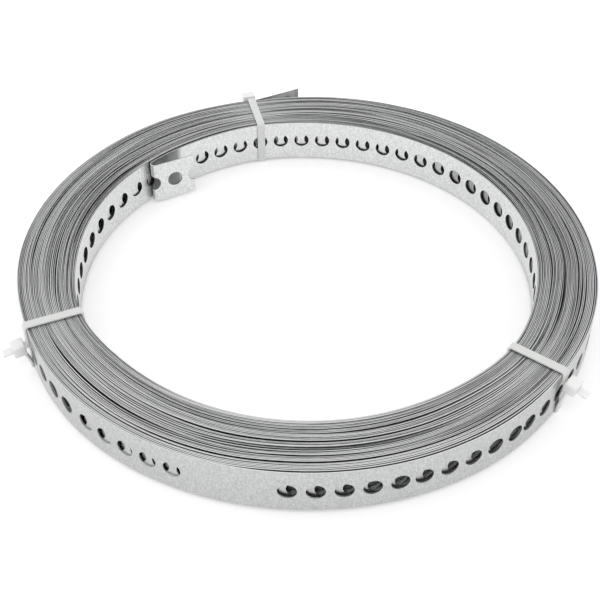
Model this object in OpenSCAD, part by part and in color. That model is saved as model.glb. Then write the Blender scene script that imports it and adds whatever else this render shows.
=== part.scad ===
// Roll of perforated metal strap, kept closed by three cable ties.
// The roll lies flat on its ties with its axis along +Z. The origin is at floor level, under
// the middle of the whole outline. Angles run anticlockwise from +X, seen from above, and are
// taken about the roll's own axis.

/* [Strap] */
// Width of the strap
strap_w = 20; // [16:0.5:30]
// Thickness of the strap
strap_t = 0.6; // [0.5:0.05:0.9]
// Diameter of the punched holes
hole_d = 7; // [4:0.1:7.6]
// Distance between the centres of two holes
hole_pitch = 10; // [9:0.5:20]
// Number of holes that one stroke of the punch makes
stroke_holes = 5; // [3:1:10]
// Distances between two strokes on the outer turn, used in turn
stroke_gap = [9, 8, 12, 10]; // [8:0.5:14]

/* [Roll] */
// Radius of the open eye
eye_r = 94.6; // [75:0.2:130]
// Number of turns
turns = 37; // [20:1:50]
// Mean gap between two turns
turn_gap = 0.08; // [0.04:0.01:0.15]
// Width of the groove between the rolled edges of two turns
groove_w = 0.24; // [0.12:0.02:0.4]
// Depth of that groove
groove_depth = 0.4; // [0.1:0.05:1]

/* [Outer end] */
// Angle at which the loose outer end leaves the roll
tail_at = 103; // [100:0.5:112]
// Length of the loose outer end
tail_len = 22.9; // [18:0.1:40]
// Angle between the loose outer end and the roll
tail_spring = 11.5; // [9:0.5:25]
// Distance from its root to the first hole of the loose outer end
tail_hole_at = 7.2; // [7:0.1:9]
// Angle of the middle of the unpunched stretch
blank_at = 256.75; // [240:0.25:280]
// Distance between the holes on either side of the unpunched stretch
blank_len = 42; // [20:1:60]

/* [Inner end] */
// Angle at which the strap folds back on itself
fold_at = 139.4; // [130:0.1:150]
// Inner radius of the fold
fold_r = 1.5; // [1.2:0.1:2]
// Angle between the folded flap and the wall
flap_open = 21.5; // [15:0.5:30]
// Length of the flat flap
flap_len = 18.2; // [14:0.1:30]
// Distance from the fold to the first hole of the flap
flap_hole_at = 8.6; // [7:0.1:9.5]
// Holes of the eye, counted from the fold, after which the next one is nearer
near_after = [24, 34]; // [1:1:50]
// How much nearer it is
near_by = 2; // [0:0.5:2]

/* [Cable ties] */
// Width of a tie's band
tie_w = 3.6; // [2.5:0.1:4.8]
// Thickness of a tie's band
tie_t = 1.1; // [0.8:0.05:1.6]
// Clearance between a tie and the roll
tie_clear = 0.1; // [0.05:0.05:0.4]
// Width of a tie's head
head_w = 6; // [5:0.1:8]
// Length of a tie's head along the band
head_len = 5.6; // [5:0.1:8]
// Height of a tie's head off the roll
head_t = 4.9; // [3.5:0.1:6]
// Clearance around the stub in the head's mouth
mouth_clear = 0.35; // [0.2:0.05:0.5]
// Depth of the head's mouth
mouth_depth = 1.2; // [0.6:0.1:2.5]
// Radius of the head's corners
head_round = 0.8; // [0.3:0.1:1.5]
// Angles of the back, left and right tie
tie_at = [104, 204, 323.5]; // [0:0.5:359]
// Heights of the middle of their heads above the roll's underside
head_up = [18.5, 10.4, 15]; // [4:0.1:18.5]
// Sideways shifts of their heads on their bands
head_shift = [0.6, -0.6, 0.6]; // [-1.3:0.1:1.3]
// Angles by which their heads point down
head_tilt = [0, 10, 12]; // [0:1:15]
// Lengths of the stubs that stand out of their heads
stub_len = [3, 4.5, 4.3]; // [1:0.1:6]

/* [Hidden] */

$fn = 64;
sink = 0.1;     // how far a piece reaches into what it is joined to
over = 1;       // how far a cut runs past the face that it opens
head_back = 0.3;    // how far a tie's head stands back from the inner face of its band

turn_pitch = strap_t + turn_gap;
coil_r = eye_r + turns * turn_pitch - turn_gap;
coil_z = tie_t + tie_clear;
coil_top = coil_z + strap_w;
hole_z = strap_w / 2;

outer_deg = 180 / PI / coil_r;  // degrees for each millimetre along the outer turn
inner_step = hole_pitch / eye_r * 180 / PI;
inner_lead = inner_step / 5;    // from the fold to the nearest hole of the eye
root_margin = hole_d;           // along the roll, from the loose end's root to the nearest hole
least_web = 1;                  // between the last hole of the eye and the first one

// The loose end reaches past the round outline, so the roll's axis stands back by half of that
tail_top = (coil_r - sink) * sin(tail_at) - tail_len * cos(tail_at + tail_spring);
roll_y = (coil_r - tail_top) / 2;

// Distance from hole k to the next one, going away from the unpunched stretch
function step_after(k, first) =
    k % stroke_holes ? hole_pitch : stroke_gap[(first + k / stroke_holes - 1) % len(stroke_gap)];

// Distances of the holes from the edge of the unpunched stretch, as far as reach
function hole_run(reach, first, at = 0, k = 1) =
    at > reach ? [] : concat([at], hole_run(reach, first, at + step_after(k, first), k + 1));

// Hole angles on the outer turn, on both sides of the unpunched stretch
blank_end = blank_len / 2 + root_margin;
outer_holes = concat(
    [for (s = hole_run((tail_at + 360 - blank_at) / outer_deg - blank_end, 0))
        blank_at + (blank_len / 2 + s) * outer_deg],
    [for (s = hole_run((blank_at - tail_at) / outer_deg - blank_end, 2))
        blank_at - (blank_len / 2 + s) * outer_deg]
);
// Hole angles on the inner turn, clockwise from the fold
function nearer(k) = near_by / hole_pitch * inner_step * len([for (n = near_after) if (k > n) n]);
inner_round = 360 + nearer(max(near_after) + 1) - (hole_d + least_web) / hole_pitch * inner_step;
inner_holes = [
    for (k = [1 : floor(inner_round / inner_step) + 1]) fold_at + inner_lead - k * inner_step + nearer(k)
];

// Corner points of the grooves along one end face; side is +1 for cuts that go up
function grooves(z, side) = [
    for (i = [1 : turns - 1]) let (r = eye_r + i * turn_pitch - turn_gap / 2)
        for (p = [[-groove_w / 2, 0], [0, groove_depth], [groove_w / 2, 0]])
            [r + p.x, z + side * p.y]
];

function reversed(list) = [for (i = [len(list) - 1 : -1 : 0]) list[i]];

// Half section of the wound turns, grooved on both end faces
module coil_section() {
    polygon(concat(
        [[eye_r, 0]], grooves(0, 1), [[coil_r, 0]],
        [[coil_r, strap_w]], reversed(grooves(strap_w, -1)), [[eye_r, strap_w]]
    ));
}

// A hole punched along the local X axis, from x to x + depth
module punched(x, depth, y = 0) {
    translate([x, y, hole_z]) rotate([0, 90, 0]) cylinder(d = hole_d, h = depth);
}

// The wound turns; only the outermost and innermost turn are pierced
module wound_turns() {
    difference() {
        rotate_extrude($fn = 180) coil_section();
        for (a = outer_holes) rotate(a) punched(coil_r - strap_t, strap_t + over);
        for (a = inner_holes) rotate(a) punched(eye_r - over, strap_t + over);
    }
}

// Loose outer end, straight, springing away from the roll
module outer_end() {
    rotate(tail_at) translate([coil_r - sink, 0, 0]) rotate(tail_spring) difference() {
        translate([-strap_t, -tail_len, 0]) cube([strap_t, tail_len, strap_w]);
        for (y = [tail_hole_at : hole_pitch : tail_len - hole_d / 2 - strap_t])
            punched(-strap_t - over, strap_t + 2 * over, -y);
    }
}

// Inner end: a hairpin fold, then a flat flap cut off across a hole
module inner_end() {
    turned = 180 - flap_open;
    mid_r = fold_r + strap_t;
    rotate(fold_at) translate([eye_r - fold_r + sink, 0, 0]) difference() {
        union() {
            rotate_extrude(angle = turned) translate([fold_r, 0]) square([strap_t, strap_w]);
            rotate(turned) translate([fold_r, -sink, 0]) cube([strap_t, flap_len + sink, strap_w]);
        }
        rotate(turned) for (y = [flap_hole_at - hole_pitch : hole_pitch : flap_len + hole_d / 2])
            punched(-mid_r - over, 2 * (mid_r + over), y);
    }
}

module strap_coil() {
    color("silver") translate([0, roll_y, coil_z]) {
        wound_turns();
        outer_end();
        inner_end();
    }
}

// Rectangle with round corners, its lower left corner at the origin
module rounded_rect(w, h, r) {
    translate([r, 0]) square([w - 2 * r, h]);
    translate([0, r]) square([w, h - 2 * r]);
    for (x = [r, w - r], y = [r, h - r]) translate([x, y]) circle(r);
}

// Closed band around the section of the roll, seen along the roll
module band_section() {
    inner_w = coil_r - eye_r + 2 * tie_clear;
    inner_h = strap_w + 2 * tie_clear;
    translate([eye_r - tie_clear - tie_t, coil_z - tie_clear - tie_t]) difference() {
        rounded_rect(inner_w + 2 * tie_t, inner_h + 2 * tie_t, tie_t);
        translate([tie_t, tie_t]) square([inner_w, inner_h]);
    }
}

// Cable tie k: band, head on the outer wall, and the trimmed stub through the head
module cable_tie(k) {
    head_x = coil_r + tie_clear + head_back + head_len / 2 * sin(head_tilt[k]);
    mouth_w = tie_w + 2 * mouth_clear;
    mouth_h = tie_t + 2 * mouth_clear;
    color("white") translate([0, roll_y, 0]) rotate(tie_at[k]) {
        rotate([90, 0, 0]) linear_extrude(tie_w, center = true) band_section();
        translate([head_x, head_shift[k], coil_z + head_up[k]]) rotate([0, head_tilt[k], 0]) {
            difference() {
                rotate([90, 0, 90]) linear_extrude(head_t)
                    translate([-head_w / 2, -head_len / 2]) rounded_rect(head_w, head_len, head_round);
                translate([head_t - mouth_depth, -mouth_w / 2, -mouth_h / 2])
                    cube([mouth_depth + over, mouth_w, mouth_h]);
            }
            translate([head_t - mouth_depth - sink, -tie_w / 2, -tie_t / 2])
                cube([mouth_depth + sink + stub_len[k], tie_w, tie_t]);
        }
    }
}

module tie_back() { cable_tie(0); }
module tie_left() { cable_tie(1); }
module tie_right() { cable_tie(2); }

strap_coil();
tie_back();
tie_left();
tie_right();
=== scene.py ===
import math
import random

import bmesh
import bpy
from mathutils import Matrix, Vector


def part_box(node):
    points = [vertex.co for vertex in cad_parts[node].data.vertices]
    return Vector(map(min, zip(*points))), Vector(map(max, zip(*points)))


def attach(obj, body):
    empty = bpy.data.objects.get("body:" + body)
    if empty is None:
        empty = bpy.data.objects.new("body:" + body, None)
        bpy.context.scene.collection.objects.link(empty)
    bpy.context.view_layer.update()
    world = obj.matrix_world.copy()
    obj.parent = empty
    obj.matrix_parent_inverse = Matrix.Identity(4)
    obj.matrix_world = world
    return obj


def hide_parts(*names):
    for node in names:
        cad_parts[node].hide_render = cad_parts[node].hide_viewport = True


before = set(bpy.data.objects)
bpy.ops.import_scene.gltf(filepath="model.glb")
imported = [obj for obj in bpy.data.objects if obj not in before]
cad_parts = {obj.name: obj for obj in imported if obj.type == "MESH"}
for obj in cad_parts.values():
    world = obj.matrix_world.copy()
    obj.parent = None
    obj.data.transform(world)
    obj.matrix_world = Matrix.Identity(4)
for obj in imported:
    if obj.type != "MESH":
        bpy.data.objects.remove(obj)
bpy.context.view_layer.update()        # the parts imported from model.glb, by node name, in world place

mm = 0.001
coilLow, coilHigh = (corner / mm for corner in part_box("strap_coil"))
coilRadius = coilHigh.x
axisY = coilLow.y + coilRadius    # the roll's own axis stands a little in front of the origin
scene = bpy.context.scene


cameraView = {
    "elevation": 41.459, "distance": 478.7, "roll": 0.43,
    "lens": 66.83, "sensor": 36, "shift": (-0.0129, -0.0260),
}


def newObject(name, data):
    made = bpy.data.objects.new(name, data)
    scene.collection.objects.link(made)
    return made


def aimCamera(view):
    data = bpy.data.cameras.new("studioCamera")
    data.lens = view["lens"]
    data.sensor_width = view["sensor"]
    data.shift_x, data.shift_y = view["shift"]
    camera = newObject("studioCamera", data)
    rise = math.radians(view["elevation"])
    target = Vector((0, axisY, coilLow.z))
    back = Vector((0, -math.cos(rise), math.sin(rise))) * view["distance"]
    camera.location = (target + back) * mm
    tilt = Matrix.Rotation(math.pi / 2 - rise, 3, "X")
    roll = Matrix.Rotation(math.radians(view["roll"]), 3, "Z")
    camera.rotation_euler = (tilt @ roll).to_euler()
    scene.camera = camera


aimCamera(cameraView)


# Links the sockets among the values and sets the others
def setInputs(tree, node, inputs):
    for socket, value in inputs.items():
        if isinstance(value, bpy.types.NodeSocket):
            tree.links.new(value, node.inputs[socket])
        else:
            node.inputs[socket].default_value = value


def addNode(tree, kind, inputs=None, **settings):
    made = tree.nodes.new(kind)
    for name, value in settings.items():
        setattr(made, name, value)
    setInputs(tree, made, inputs or {})
    return made


def mathNode(tree, operation, *values, clamp=False):
    made = addNode(tree, "ShaderNodeMath", dict(enumerate(values)), operation=operation)
    made.use_clamp = clamp
    return made.outputs[0]


def vectorNode(tree, operation, *values):
    made = addNode(tree, "ShaderNodeVectorMath", dict(enumerate(values)), operation=operation)
    return made.outputs["Value" if operation in ("LENGTH", "DOT_PRODUCT") else "Vector"]


def scaled(tree, vector, factor):
    made = addNode(tree, "ShaderNodeVectorMath", {0: vector, "Scale": factor}, operation="SCALE")
    return made.outputs["Vector"]


def splitVector(tree, vector):
    return addNode(tree, "ShaderNodeSeparateXYZ", {0: vector}).outputs


# Runs evenly from one value to another while the input goes from low to high
def ramp(tree, value, low, high, atLow=0.0, atHigh=1.0):
    return addNode(tree, "ShaderNodeMapRange", {
        "Value": value, "From Min": low, "From Max": high, "To Min": atLow, "To Max": atHigh}).outputs[0]


def namedValue(tree, name, kind="FLOAT"):
    made = addNode(tree, "GeometryNodeInputNamedAttribute", {"Name": name}, data_type=kind)
    return made.outputs["Attribute"]


def noiseAt(tree, place, scale, detail, roughness=0.5):
    return addNode(tree, "ShaderNodeTexNoise", {
        "Vector": place, "Scale": scale, "Detail": detail, "Roughness": roughness}).outputs["Fac"]


def objectPlace(tree):
    return addNode(tree, "ShaderNodeTexCoord").outputs["Object"]


def newMaterial(name):
    material = bpy.data.materials.new(name)
    material.use_nodes = True
    tree = material.node_tree
    tree.nodes.clear()
    shader = addNode(tree, "ShaderNodeBsdfPrincipled")
    addNode(tree, "ShaderNodeOutputMaterial", {"Surface": shader.outputs[0]})
    return material, tree, shader


# Streaks and patches of one metal surface, both as values around zero
def buildMetalGrain():
    group = bpy.data.node_groups.new("metalGrain", "ShaderNodeTree")
    for label in ["Place", "Streaks per metre", "Patches per metre"]:
        group.interface.new_socket(label, in_out="INPUT", socket_type="NodeSocketVector")
    for label in ["Streak", "Patch"]:
        group.interface.new_socket(label, in_out="OUTPUT", socket_type="NodeSocketFloat")
    given = addNode(group, "NodeGroupInput").outputs
    result = addNode(group, "NodeGroupOutput")
    for socket, label, detail in [("Streaks per metre", "Streak", 3.0), ("Patches per metre", "Patch", 4.0)]:
        place = vectorNode(group, "MULTIPLY", given["Place"], given[socket])
        noise = noiseAt(group, place, 1.0, detail, 0.6)
        group.links.new(mathNode(group, "SUBTRACT", noise, 0.5), result.inputs[label])
    return group


metalGrain = buildMetalGrain()


# Where a point lies on the strap, in metres: along it, through it and across it
def strapPlace(tree):
    return addNode(tree, "ShaderNodeAttribute", attribute_name="strapPlace").outputs["Vector"]


# The grain of the strap, laid along its own length
def strapGrain(tree, streaks, patches):
    grain = addNode(tree, "ShaderNodeGroup", {
        "Place": strapPlace(tree), "Streaks per metre": streaks, "Patches per metre": patches},
        node_tree=metalGrain)
    return grain.outputs["Streak"], grain.outputs["Patch"]


# One colour turning into another as the value goes from 0 to 1
def tinted(tree, value, first, second):
    ends = [end if isinstance(end, bpy.types.NodeSocket) else (*end, 1) for end in (first, second)]
    return addNode(tree, "ShaderNodeMix", {
        "Factor": value, "A": ends[0], "B": ends[1]}, data_type="RGBA").outputs["Result"]


def addBump(tree, shader, height, look):
    bump = addNode(tree, "ShaderNodeBump", {
        "Height": height, "Strength": look["bump"], "Distance": look["bumpDepth"]})
    tree.links.new(bump.outputs[0], shader.inputs["Normal"])


zinc = {
    "dark": (0.36, 0.365, 0.37), "light": (0.80, 0.805, 0.80), "level": 0.55,
    "streaks": (1500, 0, 300), "streak": 0.6, "patches": (1200, 1200, 1200), "patch": 1.0,
    "roughness": 0.30, "brightPatches": -0.2, "bump": 0.06, "bumpDepth": 0.0002,
    # deep shade: its tone, then its share at each place, with distances along the strap in metres
    "shaded": (0.13, 0.135, 0.13),
    "behindFlap": 0.85, "flapFrom": 0.0165, "flapTo": 0.0375, "flapFade": 0.003,
    "hidden": 0.7, "hiddenFrom": 1.25, "hiddenTo": 23.5,
    "aslant": 0.65, "aslantFrom": 0.755, "aslantFully": 0.79, "aslantTo": 1.0,
}


# Share of painted deep shade on the faces of the strap
def shadeOnFaces(tree, look):
    place = splitVector(tree, strapPlace(tree))
    # painted shade on the wall behind the flap
    nearFold = ramp(tree, place["X"], look["flapTo"], look["flapTo"] + look["flapFade"],
                    look["behindFlap"], 0.0)
    inward = mathNode(tree, "LESS_THAN", place["Y"], 0.0)
    pastFlap = mathNode(tree, "GREATER_THAN", place["X"], look["flapFrom"])
    shade = mathNode(tree, "MULTIPLY", nearFold, mathNode(tree, "MULTIPLY", pastFlap, inward))
    # painted shade on the turns that are hidden, from the third one to the last but two
    pastThird = mathNode(tree, "GREATER_THAN", place["X"], look["hiddenFrom"])
    hidden = mathNode(tree, "MULTIPLY", pastThird, mathNode(tree, "LESS_THAN", place["X"], look["hiddenTo"]))
    shade = mathNode(tree, "MULTIPLY_ADD", hidden, look["hidden"], shade)
    # the second turn on the right, where little light comes through the holes of the eye
    aslant = ramp(tree, place["X"], look["aslantFrom"], look["aslantFully"], 0.0, look["aslant"])
    onRight = mathNode(tree, "LESS_THAN", place["X"], look["aslantTo"])
    return mathNode(tree, "MULTIPLY_ADD", aslant, onRight, shade)


def buildZinc(look):
    material, tree, shader = newMaterial("galvanisedFace")
    streak, patch = strapGrain(tree, look["streaks"], look["patches"])
    tone = mathNode(tree, "MULTIPLY_ADD", streak, look["streak"], look["level"])
    tone = mathNode(tree, "MULTIPLY_ADD", patch, look["patch"], tone, clamp=True)
    colour = tinted(tree, tone, look["dark"], look["light"])
    colour = tinted(tree, shadeOnFaces(tree, look), colour, look["shaded"])
    rough = mathNode(tree, "MULTIPLY_ADD", patch, look["brightPatches"], look["roughness"])
    setInputs(tree, shader, {"Base Color": colour, "Roughness": rough, "Metallic": 1})
    addBump(tree, shader, streak, look)
    return material


# Slit edges: a bright burnished strip beside a dull torn one, with a tone of their own on each turn,
# painted shade on the inner rounded corner and painted shade by side of the roll. The walls of the holes are
# darker
sheared = {
    "dark": (0.015, 0.015, 0.018), "light": (0.94, 0.945, 0.95), "roughness": 0.42,
    "streaks": (260, 700, 700), "streak": 0.6, "patches": (8, 60, 60), "patch": 4.2,
    "torn": 0.32, "burnished": 0.98, "burnishedFrom": 0.00002, "soften": 0.00004,
    # painted shade on the inner rounded corner of each slit edge: its share, and where it ends through the
    # strap in metres
    "rolled": 0.8, "rolledTo": -0.00017,
    "bandsOutward": 330, "bandsAround": 6, "band": 1.8,
    # painted shade by side of the roll: the overall level, its tilt across the roll, and how much darker the
    # left and right sides are
    "level": 1.08, "shadeTilt": (-0.06, -0.14, 0), "sideShade": 0.25,
    # walls of the holes: tone in the middle and at the rims, and the share of it that the eye's holes keep as
    # painted shade
    "holeMiddle": 0.8, "holeRim": 0.3, "rimFrom": 0.0001, "rimTo": 0.0002, "holesTo": 0.0085,
    "eyeHoleShade": 0.35, "eyeTo": 0.66,
}


# The tone, times a share of it where the mask is 1
def toneWhere(tree, tone, mask, share):
    return mathNode(tree, "MULTIPLY", tone, mathNode(tree, "MULTIPLY_ADD", mask, share - 1, 1.0))


# Painted shade by side: the slit edges are darker on the left and more so on the right of the roll, darker
# towards its back and lighter towards its front
def paintedShadeBySide(tree, look, spot):
    side = vectorNode(tree, "NORMALIZE", spot)
    shadeTilt = mathNode(tree, "ADD", vectorNode(tree, "DOT_PRODUCT", side, look["shadeTilt"]), look["level"])
    across = splitVector(tree, side)["X"]
    acrossShade = mathNode(tree, "MULTIPLY", across, across)
    return mathNode(tree, "MULTIPLY_ADD", acrossShade, -look["sideShade"], shadeTilt)


def slitTone(tree, look, place):
    streak, patch = strapGrain(tree, look["streaks"], look["patches"])
    zone = ramp(tree, place["Y"], look["burnishedFrom"] - look["soften"],
                look["burnishedFrom"] + look["soften"], look["torn"], look["burnished"])
    change = mathNode(tree, "MULTIPLY_ADD", streak, look["streak"], 1.0)
    change = mathNode(tree, "MULTIPLY_ADD", patch, look["patch"], change)
    # neighbouring turns share a tone in places
    spot = vectorNode(tree, "MULTIPLY", objectPlace(tree), (1, 1, 0))
    outward = addNode(tree, "ShaderNodeCombineXYZ", {
        "Z": mathNode(tree, "MULTIPLY", vectorNode(tree, "LENGTH", spot), look["bandsOutward"])}).outputs[0]
    around = scaled(tree, spot, look["bandsAround"])
    band = noiseAt(tree, vectorNode(tree, "ADD", around, outward), 1.0, 3.0)
    change = mathNode(tree, "MULTIPLY_ADD", mathNode(tree, "SUBTRACT", band, 0.5), look["band"], change)
    tone = mathNode(tree, "MULTIPLY", zone, change, clamp=True)
    # painted shade by side of the roll
    tone = mathNode(tree, "MULTIPLY", tone, paintedShadeBySide(tree, look, spot), clamp=True)
    # painted shade: the inner rounded corner of each slit edge is darker, so the lines between turns read
    # darker
    rolled = mathNode(tree, "LESS_THAN", place["Y"], look["rolledTo"])
    return toneWhere(tree, tone, rolled, look["rolled"])


def holeTone(tree, look, place):
    tone = ramp(tree, mathNode(tree, "ABSOLUTE", place["Y"]), look["rimFrom"], look["rimTo"],
                look["holeMiddle"], look["holeRim"])
    # painted shade: the walls of the eye's holes are darker
    inEye = mathNode(tree, "LESS_THAN", place["X"], look["eyeTo"])
    return toneWhere(tree, tone, inEye, look["eyeHoleShade"])


def buildSheared(look):
    material, tree, shader = newMaterial("shearedEdge")
    place = splitVector(tree, strapPlace(tree))
    onSlit = mathNode(tree, "GREATER_THAN", mathNode(tree, "ABSOLUTE", place["Z"]), look["holesTo"])
    tone = addNode(tree, "ShaderNodeMix", {
        "Factor": onSlit, "A": holeTone(tree, look, place), "B": slitTone(tree, look, place)})
    colour = tinted(tree, tone.outputs["Result"], look["dark"], look["light"])
    setInputs(tree, shader, {"Base Color": colour, "Roughness": look["roughness"], "Metallic": 1})
    return material


nylon = {
    "dark": (0.69, 0.70, 0.685), "light": (0.79, 0.80, 0.785), "patches": 220.0,
    # the head colour is painted light, fading in just outside the roll
    "head": (0.91, 0.915, 0.905), "paintedLightFade": 0.8, "roughness": 0.38,
    "glow": 0.35, "glowDepth": 0.0012, "glowTint": (1, 1, 1), "bump": 0.15, "bumpDepth": 0.0002,
}


def buildNylon(look):
    material, tree, shader = newMaterial("tieNylon")
    place = objectPlace(tree)
    cloud = noiseAt(tree, place, look["patches"], 3.0)
    # painted light: the nylon outside the roll, mostly the heads, is whiter than the bands over the roll
    flat = vectorNode(tree, "MULTIPLY_ADD", place, (1, 1, 0), (0, -axisY * mm, 0))
    outside = ramp(tree, vectorNode(tree, "LENGTH", flat), coilRadius * mm,
                   (coilRadius + look["paintedLightFade"]) * mm)
    colour = tinted(tree, outside, tinted(tree, cloud, look["dark"], look["light"]), look["head"])
    setInputs(tree, shader, {
        "Base Color": colour, "Roughness": look["roughness"], "Subsurface Weight": look["glow"],
        "Subsurface Scale": look["glowDepth"], "Subsurface Radius": look["glowTint"]})
    addBump(tree, shader, cloud, look)
    return material


zincFace = buildZinc(zinc)
shearedEdge = buildSheared(sheared)
tieNylon = buildNylon(nylon)
print("materials built")


winding = {
    "width": 20.0, "thickness": 0.57, "edgeRound": 0.11, "eyeRadius": 94.6, "turns": 37,
    "foldAt": 139.4, "leavesAt": 103.4, "stepsPerTurn": 180, "foldStep": 0.95, "turnPitch": 0.67,
    "leastGap": 0.015, "smoothedOver": 2,
    "tieAt": [104, 204, 323.5], "pinchOut": [1.7, 0.7, 0.65], "pinchIn": [0.9, 2.0, 1.6], "pinchSpread": 13.0,
    # gaps that stand open: turn inside the gap, from angle, to angle, width
    "openGaps": [
        (0, 106, 139, 0.55), (0, 15, 106, 0.5), (0, 143, 186, 0.35), (35, 260, 322, 0.8), (34, 300, 352, 0.3),
        (29, 240, 352, 0.42), (27, 296, 352, 0.5), (21, 252, 294, 0.34), (18, 228, 250, 0.4),
        (15, 242, 348, 0.34), (16, 296, 348, 0.5), (9, 275, 330, 0.3), (6, 225, 300, 0.26),
        (24, 205, 245, 0.4), (19, 40, 70, 0.5), (27, 143, 186, 0.5), (3, 142, 178, 0.5),
        (2, 142, 168, 0.3), (12, 150, 202, 0.4), (31, 5, 60, 0.4), (25, 335, 375, 0.4),
        (8, 335, 380, 0.4), (11, 60, 100, 0.35), (30, 100, 140, 0.35), (14, 105, 150, 0.3)],
    # turns that stand proud or sink in: turn, from angle, to angle, height
    "proudTurns": [
        (22, 70, 110, 0.5), (18, 72, 110, 0.45), (8, 72, 112, 0.4), (30, 143, 174, 0.45),
        (24, 108, 138, 0.45), (21, 160, 190, 0.4), (12, 143, 172, 0.4), (33, 215, 250, 0.3),
        (25, 262, 318, 0.35), (11, 285, 330, 0.4), (31, 20, 60, 0.35), (5, 10, 60, 0.35), (1, 10, 100, -0.3)],
    "fade": 7.0,           # degrees over which these gaps and turns come and go
    "openShare": 0.92,     # the most of the free room that open gaps take
    # the other gaps wander, with waves of so many degrees, and so do the heights
    "seed": 11, "gapWaves": (23, 610), "unevenness": 3.2, "mostSlack": 0.24,
    "heightWaves": (60, 900), "waviness": 0.26, "lowest": -0.3, "calm": 0.75, "calmSpread": 8.0,
}

tailEnd = {"length": 24.3, "spring": 13.2, "ease": 3.0, "holesFromTip": [15.7, 5.7], "steps": 40}
foldEnd = {
    "radius": 1.8, "open": 21.5, "flapLength": 18.2, "holes": [9.6, 20.3], "endHole": -0.4,
    "flapSteps": 24, "bendSteps": 28, "bendAround": 96, "bendRings": 8, "endAround": 48,
}


# A smooth random curve over the angle wound, between -1 and 1 for the most part
def wander(seed, shortest, longest, waves=9):
    draw = random.Random(seed)
    parts = [(draw.uniform(0.4, 1), 2 * math.pi / draw.uniform(shortest, longest), draw.uniform(0, 6.3))
             for _ in range(waves)]
    total = sum(part[0] for part in parts) / 2
    return lambda turned: sum(a * math.sin(turned * f + p) for a, f, p in parts) / total


# 1 between two angles of one turn, falling to 0 over a few degrees at both ends
def stretch(turned, turn, fromAngle, toAngle):
    first = 360 * turn + (winding["foldAt"] - toAngle) % 360
    last = 360 * turn + (winding["foldAt"] - fromAngle) % 360
    inside = min(turned - first, last - turned) / winding["fade"] + 0.5
    inside = min(max(inside, 0), 1)
    return inside * inside * (3 - 2 * inside)


def nearTie(angle, spread):
    return [math.exp(-(((angle - at + 180) % 360 - 180) / spread) ** 2) for at in winding["tieAt"]]


def pinch(angle, depths):
    return sum(depth * near for depth, near in zip(depths, nearTie(angle, winding["pinchSpread"])))


# Radii of the strap's middle line in one column of steps, one above the other, from the eye outwards
def stackColumn(wound, column, layers, gapNoise):
    steps, thick = wound["stepsPerTurn"], wound["thickness"]
    angle = wound["foldAt"] - column * 360 / steps
    toEnd = ((angle - wound["leavesAt"]) % 360) / 360
    inner = wound["eyeRadius"] + pinch(angle, wound["pinchIn"]) + column / steps * wound["foldStep"]
    outer = coilRadius - pinch(angle, wound["pinchOut"]) - toEnd * wound["turnPitch"]
    room = max(outer - inner - len(layers) * thick, 0)
    gapsAt = [i * 360 / steps for i in layers[:-1]]
    opened = [sum(wide * stretch(turned, *gap) for *gap, wide in wound["openGaps"]) for turned in gapsAt]
    kept = min(1, wound["openShare"] * room / max(sum(opened), 0.01))
    shares = [math.exp(wound["unevenness"] * gapNoise(turned)) for turned in gapsAt]
    spare = (room - kept * sum(opened)) / sum(shares)
    slack = [min(spare * share, wound["mostSlack"]) for share in shares]
    excess = (spare * sum(shares) - sum(slack)) / len(slack)
    radii = [inner + thick / 2]
    for wide, loose in zip(opened, slack):
        radii.append(radii[-1] + (thick + kept * wide + loose + excess))
    return radii


# Radius and height of the strap's middle line at each step, from the fold to the loose end
def stackTurns(wound):
    steps, over = wound["stepsPerTurn"], wound["smoothedOver"]
    stepAngle = 360 / steps
    count = round((wound["turns"] * 360 + wound["foldAt"] - wound["leavesAt"]) / stepAngle) + 1
    gapNoise = wander(wound["seed"], *wound["gapWaves"])
    stacked = [0.0] * count
    for column in range(steps):
        stacked[column::steps] = stackColumn(wound, column, range(column, count, steps), gapNoise)
    radii = []
    for i in range(count):
        near = stacked[max(i - over, 0):i + over + 1]
        radii.append(sum(near) / len(near))
    for i in range(count - steps):
        radii[i + steps] = max(radii[i + steps], radii[i] + wound["thickness"] + wound["leastGap"])
    heightNoise = wander(wound["seed"] + 1, *wound["heightWaves"])
    heights = []
    for i in range(count):
        turned = i * stepAngle
        proud = wound["waviness"] * heightNoise(turned)
        proud += sum(high * stretch(turned, *turn) for *turn, high in wound["proudTurns"])
        calm = 1 - wound["calm"] * max(nearTie(wound["foldAt"] - turned, wound["calmSpread"]))
        heights.append(max(proud * calm, wound["lowest"]))
    return radii, heights


radii, heights = stackTurns(winding)
middleZ = coilLow.z + winding["width"] / 2


def aroundAxis(radius, angle, height):
    turn = math.radians(angle)
    return Vector((radius * math.cos(turn), axisY + radius * math.sin(turn), middleZ + height))


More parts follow.
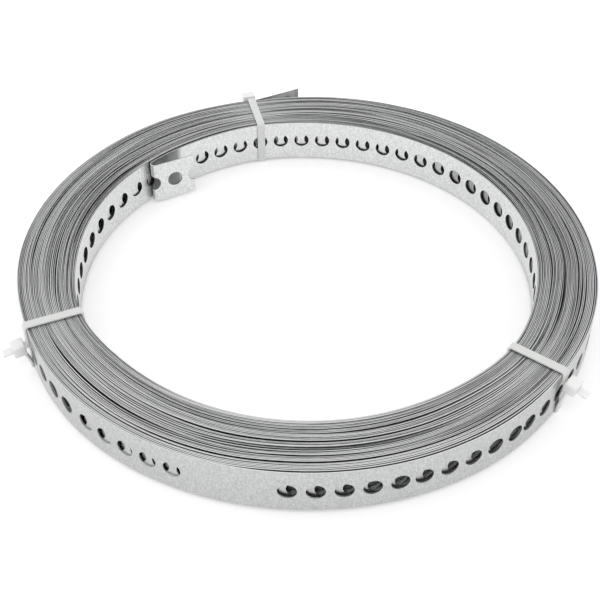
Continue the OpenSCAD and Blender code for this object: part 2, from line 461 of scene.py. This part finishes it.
# The whole strap: flap, fold, wound turns and loose end, with the angle wound at each point
def strapPath():
    foldAt, bend = winding["foldAt"], foldEnd["radius"]
    centre = aroundAxis(radii[0] - bend, foldAt, heights[0])
    turned = 180 - foldEnd["open"]

    def away(angle, reach):
        turn = math.radians(foldAt + angle)
        return Vector((math.cos(turn), math.sin(turn), 0)) * reach

    flapWay = away(turned + 90, foldEnd["flapLength"])
    flapSteps, bendSteps = foldEnd["flapSteps"], foldEnd["bendSteps"]
    points = [centre + away(turned, bend) + flapWay * k / flapSteps for k in range(flapSteps, 0, -1)]
    points += [centre + away(turned * (1 - k / bendSteps), bend) for k in range(bendSteps)]
    woundAt = [None] * len(points)
    for i, (radius, height) in enumerate(zip(radii, heights)):
        woundAt.append(i * 360 / winding["stepsPerTurn"])
        points.append(aroundAxis(radius, foldAt - woundAt[-1], height))
    heading = (points[-1] - points[-2]).normalized()
    size = tailEnd["length"] / tailEnd["steps"]
    for k in range(1, tailEnd["steps"] + 1):
        bent = tailEnd["spring"] * min(size * k / tailEnd["ease"], 1)
        points.append(points[-1] + Matrix.Rotation(math.radians(bent), 3, "Z") @ heading * size)
        woundAt.append(None)
    return points, woundAt


pathPoints, woundAt = strapPath()
pathLength = [0.0]
for before, after in zip(pathPoints, pathPoints[1:]):
    pathLength.append(pathLength[-1] + (after - before).length)
firstWound = woundAt.index(0.0)
lastTurned = woundAt[firstWound + len(radii) - 1]


# Distance along the strap at which so many degrees are wound
def alongAt(turned):
    step = turned / 360 * winding["stepsPerTurn"]
    low = min(int(step), len(radii) - 2)
    start = pathLength[firstWound + low]
    return start + (pathLength[firstWound + low + 1] - start) * (step - low)


print(f"strap wound, {pathLength[-1] * mm:.2f} m long")


punching = {
    "holeDiameter": 7.0, "pitch": 10.0, "strokeHoles": 5, "strokeGaps": [9, 8, 12, 10],
    "blankAt": 256.75, "blankLength": 42.0, "rootAt": 103, "eyeHoleShade": 60, "eyeLead": 2.0,
    "hiddenGaps": [(24, 2.0), (34, 2.0)],    # after this hole of the eye, so much less than a pitch
    "leastStep": 7.8, "widestStep": 15.5, "leastCell": 0.5,
    # shift of the holes one turn further in, against those of the outer turn: angle, distance.
    # Each turn deeper shifts them so much more
    "outer": {"deeper": -2.0, "lean": [
        (213, -0.2), (222, -0.8), (227, -3.5), (233, -3.5), (247, -4.7), (256, -1), (266, 3.0), (277, 3.0),
        (280.5, 1.8), (286, 1.8), (289, 3.3), (300, 3.3), (304, 1.7), (309.5, 1.8), (312, 2.6), (318, 2.6)]},
    # and of the holes one turn further out, against those of the eye
    "eye": {"deeper": 0.4, "lean": [
        (0, 6.0), (38, 6.0), (50, 6.0), (62, 5.8), (74, 5.6), (80, 5.4), (92, 5.2), (98, 4.5),
        (116, 4.7), (135, 4.8), (146, 6.2), (155, 6.7), (185, 7.0), (250, 5.0), (330, 4.4)]},
    "matchedTurns": 7,
}


def strokeRun(reach, first):
    places, at, k = [], 0.0, 1
    gaps = punching["strokeGaps"]
    while at <= reach:
        places.append(at)
        stroke, within = divmod(k, punching["strokeHoles"])
        at += punching["pitch"] if within else gaps[(first + stroke - 1) % len(gaps)]
        k += 1
    return places


def outerHoleAngles():
    blankAt, half = punching["blankAt"], punching["blankLength"] / 2
    degrees = 180 / math.pi / coilRadius
    margin = half + punching["holeDiameter"]
    onward = strokeRun((punching["rootAt"] + 360 - blankAt) / degrees - margin, 0)
    back = strokeRun((blankAt - punching["rootAt"]) / degrees - margin, 2)
    return ([blankAt + (half + s) * degrees for s in onward]
            + [blankAt - (half + s) * degrees for s in back])


def leanAt(angle, control):
    if angle <= control[0][0]:
        return control[0][1]
    for (a, va), (b, vb) in zip(control, control[1:]):
        if angle <= b:
            return va + (vb - va) * (angle - a) / (b - a)
    return control[-1][1]


# Leaves out holes that come too close, and fills the hidden turns with holes a pitch apart
def evenOut(places):
    outerStart = alongAt(lastTurned - 360)
    kept = places[:1]
    for place in places[1:]:
        last = kept[-1]
        room = place - last
        if room < punching["leastStep"]:
            continue
        if room > punching["widestStep"] and place < outerStart:
            count = round(room / punching["pitch"])
            kept += [last + room * k / count for k in range(1, count)]
        kept.append(place)
    return kept


def punchPlaces():
    outer = [lastTurned - (angle - winding["leavesAt"]) for angle in outerHoleAngles()]
    pitch = punching["pitch"]
    step = pitch / winding["eyeRadius"] * 180 / math.pi
    eye = []
    for k in range(1, punching["eyeHoleShade"] + 1):
        missing = sum(less for after, less in punching["hiddenGaps"] if k > after)
        eye.append((k - (punching["eyeLead"] + missing) / pitch) * step)
    turned = outer + eye
    for depth in range(1, punching["matchedTurns"] + 1):
        for run, shift, way, radius in [(outer, punching["outer"], -1, coilRadius - depth),
                                        (eye, punching["eye"], 1, winding["eyeRadius"] + depth)]:
            for t in run:
                lean = leanAt((winding["foldAt"] - t) % 360, shift["lean"]) + shift["deeper"] * (depth - 1)
                turned.append(t + way * 360 * depth - math.degrees(lean / radius))
    places = foldEnd["holes"] + [alongAt(t) for t in sorted(turned)]
    places += [pathLength[-1] - fromTip for fromTip in tailEnd["holesFromTip"]]
    return evenOut(places)


holePlaces = punchPlaces()
print(f"{len(holePlaces)} holes punched")


# Each face is (corners, whether it is cut, whether its edges are sharp)
def meshFrom(name, points, faces):
    mesh = bpy.data.meshes.new(name)
    mesh.from_pydata([Vector(p) * mm for p in points], [], [face[0] for face in faces])
    local = mesh.attributes.new("local", "FLOAT_VECTOR", "POINT")
    local.data.foreach_set("vector", [c * mm for p in points for c in p])
    for column, label in [(1, "cut"), (2, "crease")]:
        flags = mesh.attributes.new(label, "BOOLEAN", "FACE").data
        flags.foreach_set("value", [face[column] for face in faces])
    return mesh


# A hole with the strap around it. The outline has as many points as the hole, and its corners
# stand at 60, 120, 240 and 300 degrees of the hole
def punchedCell(name, around, rings=1):
    half, high = punching["pitch"] / 2, winding["width"] / 2 - winding["edgeRound"]
    thick, reach = winding["thickness"] / 2, punching["holeDiameter"] / 2
    across, down = around // 6, around // 3
    outline = [(half - 2 * half * i / across, high) for i in range(across)]
    outline += [(-half, high - 2 * high * i / down) for i in range(down)]
    outline += [(-x, -z) for x, z in outline]
    points = []
    for y in (-thick, thick):
        for ring in range(rings + 1):
            share = ring / rings
            for i, (x, z) in enumerate(outline):
                turn = math.radians(60 + 360 * i / around)
                points.append((reach * math.cos(turn) * (1 - share) + x * share, y,
                               reach * math.sin(turn) * (1 - share) + z * share))
    side = around * (rings + 1)
    crest = len(points)
    edgeRows = [range(0, across + 1), range(around // 2, around // 2 + across + 1)]
    inset = 1 - winding["edgeRound"] / thick
    for row in edgeRows:
        for y in (-thick * inset, thick * inset):
            for i in row:
                x, z = outline[i % around]
                points.append((x, y, math.copysign(winding["width"] / 2, z)))
    faces = []
    for i in range(around):
        after = (i + 1) % around
        for ring in range(rings):
            a, b = ring * around, (ring + 1) * around
            faces.append(((a + i, b + i, b + after, a + after), False, False))
            faces.append(((side + a + after, side + b + after, side + b + i, side + a + i), False, False))
        faces.append(((i, after, side + after, side + i), True, True))
    edge = rings * around
    for r, row in enumerate(edgeRows):
        low = crest + r * 2 * len(row)
        lines = [[edge + i % around for i in row], range(low, low + len(row)),
                 range(low + len(row), low + 2 * len(row)), [side + edge + i % around for i in row]]
        for band, (one, two) in enumerate(zip(lines, lines[1:])):
            for k in range(across):
                # the rounded corner on the outside isn't a cut one
                faces.append(((one[k], two[k], two[k + 1], one[k + 1]), band < 2, True))
    return meshFrom(name, points, faces)


def plainCell(name, around):
    half, thick, bevel = punching["pitch"] / 2, winding["thickness"] / 2, winding["edgeRound"]
    across, down = around // 6, around // 3
    high = winding["width"] / 2 - bevel
    # once around the strap's section: up the inner face, over the edge, down the outer face
    section = [(-thick, -high + 2 * high * j / down) for j in range(down + 1)]
    section += [(-thick + bevel, winding["width"] / 2), (thick - bevel, winding["width"] / 2)]
    section += [(-y, -z) for y, z in section]
    count = len(section)
    points = [(-half + 2 * half * i / across, y, z) for i in range(across + 1) for y, z in section]
    faces = []
    for i in range(across):
        for j in range(count):
            a, b = i * count + j, i * count + (j + 1) % count
            faces.append(((a, a + count, b + count, b), j in (down, down + 1, count - 2, count - 1),
                          j % (count // 2) >= down))
    return meshFrom(name, points, faces)


# The strap was cut off across a hole, so only the part beyond the cut is left
def cutCell(name, around, cutAt):
    mesh = punchedCell(name, around)
    bm = bmesh.new()
    bm.from_mesh(mesh)
    sliced = bmesh.ops.bisect_plane(
        bm, geom=bm.verts[:] + bm.edges[:] + bm.faces[:], dist=1e-7,
        plane_co=(cutAt * mm, 0, 0), plane_no=(1, 0, 0), clear_inner=True)
    edges = [e for e in sliced["geom_cut"] if isinstance(e, bmesh.types.BMEdge)]
    ends = bmesh.ops.edgenet_fill(bm, edges=edges)["faces"]
    cut, crease = bm.faces.layers.bool["cut"], bm.faces.layers.bool["crease"]
    local = bm.verts.layers.float_vector["local"]
    for face in ends:
        face[cut] = face[crease] = True
        if face.normal.x > 0:
            face.normal_flip()
    for vert in bm.verts:
        vert[local] = vert.co
    bm.to_mesh(mesh)
    bm.free()
    return mesh


# Each point of the host mesh is the middle of one cell. The cell is stretched beyond its hole so
# that it ends halfway to the next one, and is then bent onto the path
def buildWindTree():
    tree = bpy.data.node_groups.new("windCells", "GeometryNodeTree")
    sockets = {}
    for label, kind in [("Places", "Geometry"), ("Cells", "Collection"), ("Path", "Object"),
                        ("Across", "Vector"), ("Half cell", "Float"), ("Hole radius", "Float"),
                        ("Starts at", "Float"), ("Face material", "Material"), ("Cut material", "Material")]:
        socket = tree.interface.new_socket(label, in_out="INPUT", socket_type="NodeSocket" + kind)
        sockets[label] = socket.identifier
    tree.interface.new_socket("Wound", in_out="OUTPUT", socket_type="NodeSocketGeometry")
    given = addNode(tree, "NodeGroupInput").outputs
    result = addNode(tree, "NodeGroupOutput")

    cells = addNode(tree, "GeometryNodeCollectionInfo", {
        "Collection": given["Cells"], "Separate Children": True, "Reset Children": True})
    laid = addNode(tree, "GeometryNodeInstanceOnPoints", {
        "Points": given["Places"], "Instance": cells.outputs[0], "Pick Instance": True,
        "Instance Index": namedValue(tree, "kind", "INT")})
    real = addNode(tree, "GeometryNodeRealizeInstances", {"Geometry": laid.outputs[0]}).outputs[0]

    # distance along the path, stretched beyond the hole towards the cell's end
    local = splitVector(tree, namedValue(tree, "local", "FLOAT_VECTOR"))
    forward = addNode(tree, "FunctionNodeCompare", {0: local["X"], 1: 0.0}, operation="GREATER_THAN")
    reach = addNode(tree, "GeometryNodeSwitch", {
        "Switch": forward.outputs[0], "False": namedValue(tree, "behind"),
        "True": namedValue(tree, "ahead")}, input_type="FLOAT").outputs[0]
    distance = mathNode(tree, "ABSOLUTE", local["X"])
    past = ramp(tree, distance, given["Hole radius"], given["Half cell"],
                0.0, mathNode(tree, "SUBTRACT", reach, given["Half cell"]))
    shifted = mathNode(tree, "MULTIPLY", mathNode(tree, "ADD", distance, past),
                       mathNode(tree, "SIGN", local["X"]))
    along = mathNode(tree, "ADD", namedValue(tree, "centre"), shifted)

    # place on the path, lifted through the strap's thickness and across its width
    route = addNode(tree, "GeometryNodeObjectInfo", {"Object": given["Path"]}).outputs["Geometry"]
    on = addNode(tree, "GeometryNodeSampleCurve", {"Curves": route, "Length": along}, mode="LENGTH").outputs
    outward = vectorNode(tree, "NORMALIZE", vectorNode(tree, "CROSS_PRODUCT", given["Across"], on["Tangent"]))
    offset = vectorNode(tree, "ADD", scaled(tree, outward, local["Y"]),
                        scaled(tree, given["Across"], local["Z"]))
    spot = vectorNode(tree, "ADD", on["Position"], offset)

    place = addNode(tree, "ShaderNodeCombineXYZ", {
        "X": mathNode(tree, "ADD", along, given["Starts at"]), "Y": local["Y"], "Z": local["Z"]}).outputs[0]
    stored = addNode(tree, "GeometryNodeStoreNamedAttribute", {
        "Geometry": real, "Name": "strapPlace", "Value": place}, data_type="FLOAT_VECTOR", domain="POINT")
    bent = addNode(tree, "GeometryNodeSetPosition", {"Geometry": stored.outputs[0], "Position": spot})
    joined = addNode(tree, "GeometryNodeMergeByDistance", {"Geometry": bent.outputs[0], "Distance": 2e-5})
    cut = namedValue(tree, "cut", "BOOLEAN")
    uncut = addNode(tree, "FunctionNodeBooleanMath", {0: cut}, operation="NOT").outputs[0]
    creased = addNode(tree, "GeometryNodeSetShadeSmooth", {
        0: joined.outputs[0], "Selection": namedValue(tree, "crease", "BOOLEAN"),
        "Shade Smooth": False}, domain="EDGE")
    shaded = addNode(tree, "GeometryNodeSetShadeSmooth", {0: creased.outputs[0], "Selection": uncut})
    faced = addNode(tree, "GeometryNodeSetMaterial", {
        "Geometry": shaded.outputs[0], "Material": given["Face material"]})
    edged = addNode(tree, "GeometryNodeSetMaterial", {
        "Geometry": faced.outputs[0], "Selection": cut, "Material": given["Cut material"]})
    tree.links.new(edged.outputs[0], result.inputs[0])
    return tree, sockets


windTree, windSockets = buildWindTree()


# The middles of the cells as points, each with its reach back and ahead and its kind of cell
def cellPlaces(cells):
    host = bpy.data.meshes.new("cellPlaces")
    host.from_pydata([(cell[0] * mm, 0, 0) for cell in cells], [], [])
    for column, label in enumerate(["centre", "behind", "ahead"]):
        values = host.attributes.new(label, "FLOAT", "POINT").data
        values.foreach_set("value", [cell[column] * mm for cell in cells])
    host.attributes.new("kind", "INT", "POINT").data.foreach_set("value", [cell[3] for cell in cells])
    return host


def routeCurve(route):
    curve = bpy.data.curves.new("routeCurve", "CURVE")
    curve.dimensions = "3D"
    spline = curve.splines.new("POLY")
    spline.points.add(len(route) - 1)
    spline.points.foreach_set("co", [c for p in route for c in (*(p * mm), 1)])
    return curve


def closeEnds(mesh, cutMaterial):
    bm = bmesh.new()
    bm.from_mesh(mesh)
    cutIndex = list(mesh.materials).index(cutMaterial)
    openEdges = [edge for edge in bm.edges if edge.is_boundary]
    for face in bmesh.ops.holes_fill(bm, edges=openEdges, sides=0)["faces"]:
        face.material_index = cutIndex
        face.smooth = False
    bm.to_mesh(mesh)
    print(f"{mesh.name}: {sum(len(face.verts) - 2 for face in bm.faces)} triangles")
    bm.free()


# Runs the tree and returns a plain mesh, closed at both ends. Cells are (centre, behind, ahead, kind)
def windCells(name, cells, kinds, route, settings):
    spare = [newObject(name + "Places", cellPlaces(cells)), newObject(name + "Path", routeCurve(route))]
    shelf = bpy.data.collections.new(name + "Cells")
    scene.collection.children.link(shelf)
    for k, mesh in enumerate(kinds):
        spare.append(bpy.data.objects.new(f"{name}Cell{k}", mesh))
        shelf.objects.link(spare[-1])
    modifier = spare[0].modifiers.new("windCells", "NODES")
    modifier.node_group = windTree
    for label, value in {"Cells": shelf, "Path": spare[1], **settings}.items():
        modifier[windSockets[label]] = value
    depsgraph = bpy.context.evaluated_depsgraph_get()
    mesh = bpy.data.meshes.new_from_object(spare[0].evaluated_get(depsgraph))
    mesh.name = name
    for thing in spare:
        bpy.data.objects.remove(thing)
    bpy.data.collections.remove(shelf)
    closeEnds(mesh, settings["Cut material"])
    for label in ["centre", "behind", "ahead", "kind", "local", "cut", "crease"]:
        if label in mesh.attributes:
            mesh.attributes.remove(mesh.attributes[label])
    return mesh


meetAt = 36    # degrees wound from the fold to the back tie, under which the pieces meet
# Points around a hole, and how many turns further on each piece ends
coilPieces = {
    "strap_inner_turn": {"around": 48, "turns": 1},
    "strap_near_eye": {"around": 24, "turns": 4},
    "strap_middle_turns": {"around": 12, "turns": 33},
    "strap_near_rim": {"around": 24, "turns": 36},
    "strap_outer_turn": {"around": 48, "turns": None},
}


# Middle of the step between two holes that is nearest to this distance along the strap
def stepNear(along):
    middles = [(a + b) / 2 for a, b in zip(holePlaces, holePlaces[1:]) if b - a < punching["widestStep"]]
    return min(middles, key=lambda middle: abs(middle - along))


# Cells that cover the strap between two distances, of kind 0 with a hole and 1 without
def layCells(start, end):
    pitch, least = punching["pitch"], punching["leastStep"]
    half = pitch / 2
    holes = [h for h in holePlaces if start <= h <= end]
    at, cells = start, []

    def fill(first, last):
        count = max(round((last - first) / pitch), 1)
        size = (last - first) / count
        return [(first + size * (k + 0.5) - start, size / 2, size / 2, 1) for k in range(count)]

    for k, hole in enumerate(holes):
        behind, ahead = hole - at, half
        if behind > least:
            cells += fill(at, hole - half)
            behind = half
        if k + 1 < len(holes) and holes[k + 1] - hole < punching["widestStep"]:
            ahead = (holes[k + 1] - hole) / 2
        elif k + 1 == len(holes) and end - hole < least:
            ahead = end - hole
        cells.append((hole - start, behind, ahead, 0))
        at = hole + ahead
    if end - at > punching["leastCell"]:
        cells += fill(at, end)
    return cells


# The innermost cells: kind 2 bends well in the fold, kind 3 is what is left of a hole at the end
def dressFold(cells):
    fold = min(range(len(cells)), key=lambda k: abs(cells[k][0] - foldEnd["holes"][1]))
    cells[fold] = (*cells[fold][:3], 2)
    joint = (foldEnd["holes"][0] + foldEnd["endHole"]) / 2
    cells = [cell for cell in cells if cell[0] > joint]
    cells[0] = (cells[0][0], cells[0][0] - joint, *cells[0][2:])
    return [(foldEnd["endHole"], punching["pitch"] / 2, joint - foldEnd["endHole"], 3)] + cells


def buildCoil():
    made, start, spare = [], 0.0, 4    # points of the path that each piece takes beyond its ends
    for name, piece in coilPieces.items():
        end = stepNear(alongAt(meetAt + 360 * piece["turns"])) if piece["turns"] else pathLength[-1]
        low = max(next(i for i, length in enumerate(pathLength) if length >= start) - spare, 0)
        high = next(i for i, length in enumerate(pathLength) if length >= end - 1e-6) + spare
        offset = start - pathLength[low]
        cells = [(centre + offset, *others) for centre, *others in layCells(start, end)]
        kinds = [punchedCell(name + "Punched", piece["around"]), plainCell(name + "Plain", piece["around"])]
        if start == 0:
            cells = dressFold(cells)
            kinds += [punchedCell("foldCell", foldEnd["bendAround"], foldEnd["bendRings"]),
                      cutCell("cutEnd", foldEnd["endAround"], -foldEnd["endHole"])]
        mesh = windCells(name, cells, kinds, pathPoints[low:high + 1], {
            "Across": (0, 0, 1), "Half cell": punching["pitch"] / 2 * mm,
            "Hole radius": punching["holeDiameter"] / 2 * mm, "Starts at": pathLength[low] * mm,
            "Face material": zincFace, "Cut material": shearedEdge})
        made.append(newObject(name, mesh))
        start = end
    return made


coil = buildCoil()
for piece in coil:
    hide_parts("strap_coil")
    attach(piece, "root")
print("coil done")


tie = {
    "width": 3.6, "thickness": 1.0, "edgeRound": 0.22, "bend": 1.15, "clearance": 0.05, "turnOut": 0.9,
    # the band's lower end stands off the roll beside the head and reaches into it
    "standExtra": 0.4, "mostStand": 2, "tuckedIn": 1, "legSteps": 12, "cornerSteps": 8,
    "toothPitch": 1.2, "toothDepth": 0.25, "railWidth": 0.55, "railSlope": 0.05,
    # place along the tooth, share of its depth
    "toothProfile": [(-0.5, 1.0), (-0.2, 0.66), (0.1, 0.33), (0.35, 0.0), (0.5, 1.0)],
    "headWidth": 5.9, "headLength": 5.5, "headHeight": 4.9, "mouthWidth": 4.2, "mouthLength": 2.1,
    # rings of the head and its mouth: wider by, radius of the corners, height
    "headRings": [
        (-0.35, 0.9, 0), (0, 0.9, 0.35), (-0.1, 0.9, 4.48), (-0.35, 0.9, 4.7775), (-0.9, 0.72, 4.9)],
    "mouthRings": [(0.3, 0.4, 4.9), (0, 0.3, 4.6), (0, 0.3, 2.3)],
    "smoothUnder": 38,
}
tiePieces = {
    "back_tie": {
        "node": "tie_back", "at": 104, "headZ": 19.7, "back": 1.2, "shift": 0.6, "tilt": 0, "stub": 2.4},
    "left_tie": {
        "node": "tie_left", "at": 204, "headZ": 11.1, "back": 1.9, "shift": -0.6, "tilt": 10, "stub": 3.8},
    "right_tie": {
        "node": "tie_right", "at": 323.5, "headZ": 16.2, "back": 1.6, "shift": 0.6, "tilt": 12, "stub": 4.3},
}


# Inner and outer radius, lowest and highest edge of the turns within 2 degrees of an angle
def bundleAt(angle):
    near = [i for i in range(len(radii))
            if abs((winding["foldAt"] - i * 360 / winding["stepsPerTurn"] - angle + 180) % 360 - 180) < 2]
    half = winding["thickness"] / 2
    return (min(radii[i] for i in near) - half, max(radii[i] for i in near) + half,
            coilLow.z + min(heights[i] for i in near), coilHigh.z + max(heights[i] for i in near))


# Middle line of the band as radius, sideways shift and height. It starts in the lower side of the
# head, stands off the wall there, goes once round the turns and leaves through the head's slot
def bandRoute(piece, inner, outer, low, high):
    gap, bend, turnOut = tie["clearance"] + tie["thickness"] / 2, tie["bend"], tie["turnOut"]
    base, stand = outer + piece["back"], min(piece["back"] + tie["standExtra"], tie["mostStand"])
    inner, outer, low, high = inner - gap, outer + gap, max(low - gap, tie["thickness"] / 2), high + gap
    headZ, shift, tilt = piece["headZ"], piece["shift"], math.radians(piece["tilt"])
    legSteps, cornerSteps = tie["legSteps"], tie["cornerSteps"]
    first, last = headZ - tie["headLength"] / 2 + tie["tuckedIn"], low + bend
    route = []
    for k in range(legSteps):
        share = 1 - k / legSteps
        ease = share * share * (3 - 2 * share)
        route.append((outer + stand * ease, shift * ease, last + (first - last) * share))
    for x, z, start in [(outer - bend, low + bend, 360), (inner + bend, low + bend, 270),
                        (inner + bend, high - bend, 180), (outer - bend, high - bend, 90)]:
        for k in range(cornerSteps + 1):
            turn = math.radians(start - 90 * k / cornerSteps)
            route.append((x + bend * math.cos(turn), 0, z + bend * math.sin(turn)))
    away = outer + turnOut * (1 - math.sin(tilt))
    turnZ = headZ - (away - base) * math.tan(tilt) + turnOut * math.cos(tilt)
    for k in range(cornerSteps + 1):
        turn = math.pi + (math.pi / 2 - tilt) * k / cornerSteps
        route.append((outer + turnOut + turnOut * math.cos(turn), shift, turnZ + turnOut * math.sin(turn)))
    reach = tie["headHeight"] + piece["stub"] - (away - base) / math.cos(tilt)
    route.append((away + reach * math.cos(tilt), shift, route[-1][2] - reach * math.sin(tilt)))
    return route


# One tooth of the band: smooth outside, a ratchet tooth between two rails inside
def toothCell(name):
    half, thick, edge = tie["width"] / 2, tie["thickness"] / 2, tie["edgeRound"]
    rail = half - tie["railWidth"]
    tooth = rail - tie["railSlope"]
    points, faces = [], []
    for x, sunk in tie["toothProfile"]:
        floor = -thick + tie["toothDepth"] * sunk
        section = [(half, thick - edge), (half - edge, thick), (0, thick), (edge - half, thick),
                   (-half, thick - edge), (-half, edge - thick), (edge - half, -thick), (-rail, -thick),
                   (-tooth, floor), (tooth, floor), (rail, -thick), (half - edge, -thick),
                   (half, edge - thick)]
        points += [(x * tie["toothPitch"], y, z) for z, y in section]
    count = len(section)
    for i in range(len(tie["toothProfile"]) - 1):
        for j in range(count):
            a, b = i * count + j, i * count + (j + 1) % count
            faces.append(((a, a + count, b + count, b), False, False))
    return meshFrom(name, points, faces)


def roundedOutline(width, length, radius, perCorner=6):
    outline = []
    for k, (x, z) in enumerate([(1, 1), (-1, 1), (-1, -1), (1, -1)]):
        for step in range(perCorner):
            turn = math.radians(90 * k + 90 * step / (perCorner - 1))
            outline.append((x * (width / 2 - radius) + radius * math.cos(turn),
                            z * (length / 2 - radius) + radius * math.sin(turn)))
    return outline


# Head of a tie: a rounded block with its mouth in the outer face, lofted from ring to ring
def addHead(bm, base, sideways, upward, outward):
    loops = []
    for part in ("head", "mouth"):
        for more, radius, lift in tie[part + "Rings"]:
            outline = roundedOutline(tie[part + "Width"] + more, tie[part + "Length"] + more, radius)
            loops.append([bm.verts.new((base + sideways * x + upward * z + outward * lift) * mm)
                          for x, z in outline])
    for one, two in zip(loops, loops[1:]):
        for i in range(len(one)):
            after = (i + 1) % len(one)
            bm.faces.new((one[i], one[after], two[after], two[i]))
    bm.faces.new(loops[0][::-1])
    bm.faces.new(loops[-1])


def buildTie(name, piece):
    turn, tilt = math.radians(piece["at"]), math.radians(piece["tilt"])
    outward = Vector((math.cos(turn), math.sin(turn), 0))
    up = Vector((0, 0, 1))
    sideways = up.cross(outward)
    inner, outer, low, high = bundleAt(piece["at"])

    def placed(radius, shift, z):
        return Vector((0, axisY, 0)) + outward * radius + sideways * shift + up * z

    route = [placed(*spot) for spot in bandRoute(piece, inner, outer, low, high)]
    length = sum((b - a).length for a, b in zip(route, route[1:]))
    count = round(length / tie["toothPitch"])
    size = length / count
    cells = [(size * (k + 0.5), size / 2, size / 2, 0) for k in range(count)]
    mesh = windCells(name, cells, [toothCell(name + "Tooth")], route, {
        "Across": -sideways, "Half cell": tie["toothPitch"] / 2 * mm, "Hole radius": 0.0, "Starts at": 0.0,
        "Face material": tieNylon, "Cut material": tieNylon})
    bm = bmesh.new()
    bm.from_mesh(mesh)
    addHead(bm, placed(outer + piece["back"], piece["shift"], piece["headZ"]), sideways,
            up * math.cos(tilt) + outward * math.sin(tilt), outward * math.cos(tilt) - up * math.sin(tilt))
    nylonIndex = list(mesh.materials).index(tieNylon)
    for face in bm.faces:
        face.smooth = True
        face.material_index = nylonIndex
    bm.to_mesh(mesh)
    bm.free()
    mesh.set_sharp_from_angle(angle=math.radians(tie["smoothUnder"]))
    made = newObject(name, mesh)
    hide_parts(piece["node"])
    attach(made, "root")


for name, piece in tiePieces.items():
    buildTie(name, piece)
print("ties done")


studio = {
    "floorSize": 8, "floor": (0.9, 0.9, 0.9), "floorGlow": 0.3, "glossyShare": 0.7,
    "eyeRadius": 0.0935, "eyeReflectionGlow": 1.6, "sky": 0.92,
}


def buildFloor(look):
    bpy.ops.mesh.primitive_plane_add(size=look["floorSize"])
    floor = bpy.context.object
    floor.name = "floor"
    material, tree, shader = newMaterial("floorPaper")
    ray = addNode(tree, "ShaderNodeLightPath").outputs
    # painted light: the paper inside the eye glows brighter in the metal's reflections than the paper around
    # the roll
    reach = vectorNode(tree, "LENGTH", objectPlace(tree))
    inEye = mathNode(tree, "LESS_THAN", reach, look["eyeRadius"])
    share = mathNode(tree, "MULTIPLY_ADD", inEye, look["eyeReflectionGlow"] - look["glossyShare"], look["glossyShare"])
    seen = mathNode(tree, "MULTIPLY_ADD", ray["Is Glossy Ray"], share, ray["Is Camera Ray"])
    seen = mathNode(tree, "MAXIMUM", seen, ray["Is Transmission Ray"])
    setInputs(tree, shader, {
        "Base Color": (*look["floor"], 1), "Roughness": 1, "Specular IOR Level": 0,
        "Emission Color": (1, 1, 1, 1),
        "Emission Strength": mathNode(tree, "MULTIPLY", seen, look["floorGlow"])})
    floor.data.materials.append(material)


def buildSky(look):
    world = scene.world = bpy.data.worlds.new("studioWorld")
    world.use_nodes = True
    tree = world.node_tree
    tree.nodes.clear()
    ray = addNode(tree, "ShaderNodeLightPath").outputs
    seen = mathNode(tree, "MAXIMUM", ray["Is Camera Ray"], ray["Is Transmission Ray"])
    level = addNode(tree, "ShaderNodeMix", {"Factor": seen, "A": look["sky"], "B": 1.0}).outputs["Result"]
    sky = addNode(tree, "ShaderNodeBackground", {"Color": (1, 1, 1, 1), "Strength": level})
    addNode(tree, "ShaderNodeOutputWorld", {"Surface": sky.outputs[0]})


keyLamp = {"at": (-0.5, -0.4, 1.3), "size": 1.6, "power": 2.0}


# A soft lamp that looks at the roll
def hangLamp(look):
    data = bpy.data.lights.new("keyLamp", "AREA")
    data.size, data.energy = look["size"], look["power"]
    lamp = newObject("keyLamp", data)
    lamp.location = look["at"]
    lamp.rotation_euler = (-Vector(look["at"])).to_track_quat("-Z", "Y").to_euler()


buildFloor(studio)
buildSky(studio)
hangLamp(keyLamp)
scene.view_settings.view_transform = "Standard"
print("studio set")

bpy.context.view_layer.update()
